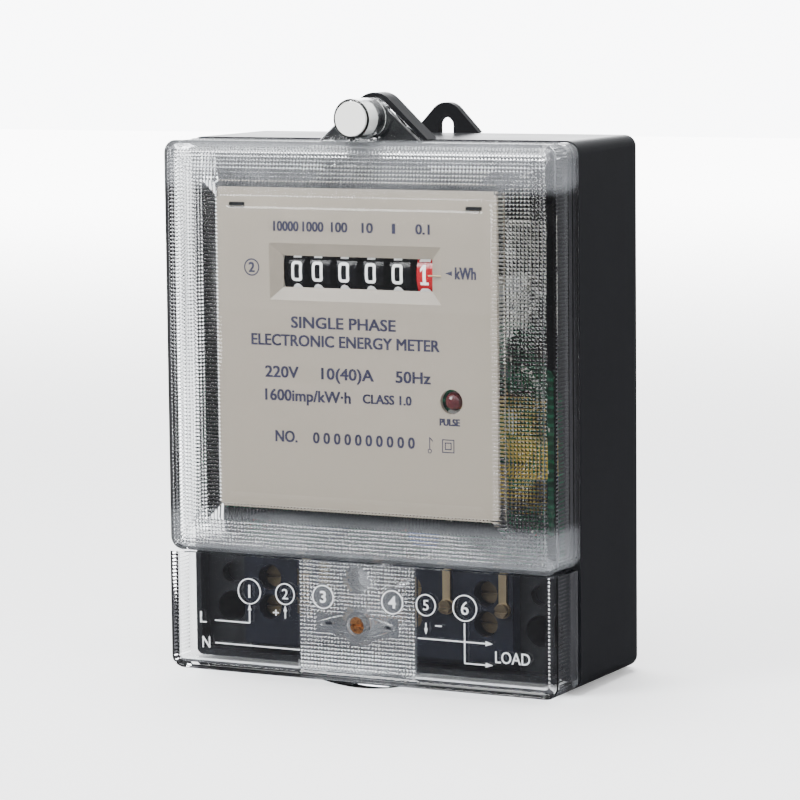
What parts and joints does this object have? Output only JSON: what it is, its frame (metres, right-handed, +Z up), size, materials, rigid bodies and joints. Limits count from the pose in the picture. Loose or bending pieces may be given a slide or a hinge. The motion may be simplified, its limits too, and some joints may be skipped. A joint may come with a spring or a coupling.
{
  "type": "prepaid electricity meter",
  "caption": "Single-phase electronic energy meter with a drum register behind a clear sealed cover, a clear terminal cover and a sliding hanging hook.",
  "frame": {"origin": "centre of the bounding box seen from above, level with the lowest point of the terminal cover's thumb lip", "axes": "+X to the right as the register is read, +Y from the window towards the wall, +Z up"},
  "size_m": [0.114, 0.0594, 0.1555],
  "materials": {
    "black_plastic": "satin moulded",
    "block_plastic": "moulded",
    "brass": "machined",
    "screw_brass": "zinc tinted",
    "screw_steel": "plated",
    "copper_alloy": "rolled",
    "circuit_board": "solder resist",
    "chip_plastic": "moulded",
    "can_metal": "drawn",
    "capacitor_film": "cast",
    "capacitor_sleeve": "shrink sleeve",
    "varistor_coat": "dipped",
    "white_plastic": "moulded",
    "resistor_body": "lacquered",
    "light_lens": "cast lens",
    "red_lead": "insulated",
    "white_lead": "insulated",
    "frame_plastic": "moulded",
    "steel_shaft": "ground",
    "red_drum": "moulded",
    "black_drum": "moulded",
    "faceplate_paint": "screen printed",
    "clear_plastic": "clear moulded",
    "gasket_rubber": "moulded",
    "copper_screw": "copper plated",
    "print_ink": "screen printed",
    "digit_ink": "pad printed",
    "frosted_plastic": "raised lettering"
  },
  "bodies": {
    "case": {"base_housing": "black_plastic", "inner_posts": "black_plastic", "seal_boss": "black_plastic", "terminal_block": "block_plastic", "terminal_line_in": "brass", "terminal_line_out": "brass", "terminal_neutral_in": "brass", "terminal_neutral_out": "brass", "clamp_screws": "screw_brass", "aux_terminals": "brass", "aux_links": "brass", "aux_screws": "screw_brass", "block_screw": "screw_steel", "cover_screw_insert": "brass", "current_shunt": "copper_alloy", "neutral_link": "brass", "circuit_board": "circuit_board", "board_screws": "screw_steel", "metering_chip": "chip_plastic", "crystal": "can_metal", "supply_capacitor": "capacitor_film", "smoothing_capacitor": "capacitor_sleeve", "varistor": "varistor_coat", "optocoupler": "white_plastic", "resistors": "resistor_body", "pulse_light": "light_lens", "sense_leads": "red_lead", "motor_leads": "white_lead", "register_frame": "frame_plastic", "register_screws": "screw_steel", "drum_shaft": "steel_shaft", "pinion_shaft": "steel_shaft", "idler_axle": "steel_shaft", "stepper_motor": "can_metal", "faceplate": "faceplate_paint", "index_pointer": "brass", "front_cover": "clear_plastic", "cover_gasket": "gasket_rubber", "top_cover_screw": "screw_steel", "lower_cover_screw": "screw_steel"},
    "hanging_hook": {"hanging_hook": "black_plastic"},
    "motor_pinion": {"motor_pinion": "brass"},
    "idler_gear": {"idler_gear": "white_plastic"},
    "drum_tenths": {"drum_tenths": "red_drum"},
    "drum_units": {"drum_units": "black_drum"},
    "drum_tens": {"drum_tens": "black_drum"},
    "drum_hundreds": {"drum_hundreds": "black_drum"},
    "drum_thousands": {"drum_thousands": "black_drum"},
    "drum_ten_thousands": {"drum_ten_thousands": "black_drum"},
    "pinion_units": {"pinion_units": "white_plastic"},
    "pinion_tens": {"pinion_tens": "white_plastic"},
    "pinion_hundreds": {"pinion_hundreds": "white_plastic"},
    "pinion_thousands": {"pinion_thousands": "white_plastic"},
    "pinion_ten_thousands": {"pinion_ten_thousands": "white_plastic"},
    "seal_plug": {"seal_plug": "white_plastic"},
    "terminal_cover": {"terminal_cover": "clear_plastic"},
    "terminal_cover_screw": {"terminal_cover_screw": "copper_screw"}
  },
  "joints": [
    {"name": "tenths_turn", "type": "hinge", "parent": "case", "child": "drum_tenths", "pos_m": [0, -0.0138, 0.1092], "axis": [1, 0, 0], "continuous": true},
    {"name": "units_turn", "type": "hinge", "parent": "case", "child": "drum_units", "pos_m": [0, -0.0138, 0.1092], "axis": [1, 0, 0], "continuous": true},
    {"name": "tens_turn", "type": "hinge", "parent": "case", "child": "drum_tens", "pos_m": [0, -0.0138, 0.1092], "axis": [1, 0, 0], "continuous": true},
    {"name": "hundreds_turn", "type": "hinge", "parent": "case", "child": "drum_hundreds", "pos_m": [0, -0.0138, 0.1092], "axis": [1, 0, 0], "continuous": true},
    {"name": "thousands_turn", "type": "hinge", "parent": "case", "child": "drum_thousands", "pos_m": [0, -0.0138, 0.1092], "axis": [1, 0, 0], "continuous": true},
    {"name": "ten_thousands_turn", "type": "hinge", "parent": "case", "child": "drum_ten_thousands", "pos_m": [0, -0.0138, 0.1092], "axis": [1, 0, 0], "continuous": true},
    {"name": "pinion_units_turn", "type": "hinge", "parent": "case", "child": "pinion_units", "pos_m": [0, -0.0018, 0.1092], "axis": [1, 0, 0], "continuous": true},
    {"name": "pinion_tens_turn", "type": "hinge", "parent": "case", "child": "pinion_tens", "pos_m": [0, -0.0018, 0.1092], "axis": [1, 0, 0], "continuous": true},
    {"name": "pinion_hundreds_turn", "type": "hinge", "parent": "case", "child": "pinion_hundreds", "pos_m": [0, -0.0018, 0.1092], "axis": [1, 0, 0], "continuous": true},
    {"name": "pinion_thousands_turn", "type": "hinge", "parent": "case", "child": "pinion_thousands", "pos_m": [0, -0.0018, 0.1092], "axis": [1, 0, 0], "continuous": true},
    {"name": "pinion_ten_thousands_turn", "type": "hinge", "parent": "case", "child": "pinion_ten_thousands", "pos_m": [0, -0.0018, 0.1092], "axis": [1, 0, 0], "continuous": true},
    {"name": "idler_turn", "type": "hinge", "parent": "case", "child": "idler_gear", "pos_m": [0, -0.01036, 0.09975], "axis": [1, 0, 0], "continuous": true},
    {"name": "motor_turn", "type": "hinge", "parent": "case", "child": "motor_pinion", "pos_m": [0, -0.00045, 0.098], "axis": [1, 0, 0], "continuous": true},
    {"name": "terminal_cover_slide", "type": "slide", "parent": "case", "child": "terminal_cover", "axis": [0, -1, 0], "range_m": [0, 0.032]},
    {"name": "cover_screw_turn", "type": "hinge", "parent": "terminal_cover", "child": "terminal_cover_screw", "pos_m": [0, -0.0197, 0.017], "axis": [0, 1, 0], "continuous": true},
    {"name": "seal_plug_pull", "type": "slide", "parent": "case", "child": "seal_plug", "axis": [0, -1, 0], "range_m": [0, 0.012]},
    {"name": "hook_slide", "type": "slide", "parent": "case", "child": "hanging_hook", "axis": [0, 0, -1], "range_m": [0, 0.008]}
  ],
  "couplings": [
    {"joint": "units_turn", "follows": "tenths_turn", "ratio": 0.1},
    {"joint": "tens_turn", "follows": "tenths_turn", "ratio": 0.01},
    {"joint": "hundreds_turn", "follows": "tenths_turn", "ratio": 0.001},
    {"joint": "thousands_turn", "follows": "tenths_turn", "ratio": 0.0001},
    {"joint": "ten_thousands_turn", "follows": "tenths_turn", "ratio": 0.00001},
    {"joint": "pinion_units_turn", "follows": "tenths_turn", "ratio": -0.25},
    {"joint": "pinion_tens_turn", "follows": "tenths_turn", "ratio": -0.025},
    {"joint": "pinion_hundreds_turn", "follows": "tenths_turn", "ratio": -0.0025},
    {"joint": "pinion_thousands_turn", "follows": "tenths_turn", "ratio": -0.00025},
    {"joint": "pinion_ten_thousands_turn", "follows": "tenths_turn", "ratio": -0.000025},
    {"joint": "idler_turn", "follows": "tenths_turn", "ratio": -4},
    {"joint": "motor_turn", "follows": "tenths_turn", "ratio": 16}
  ]
}
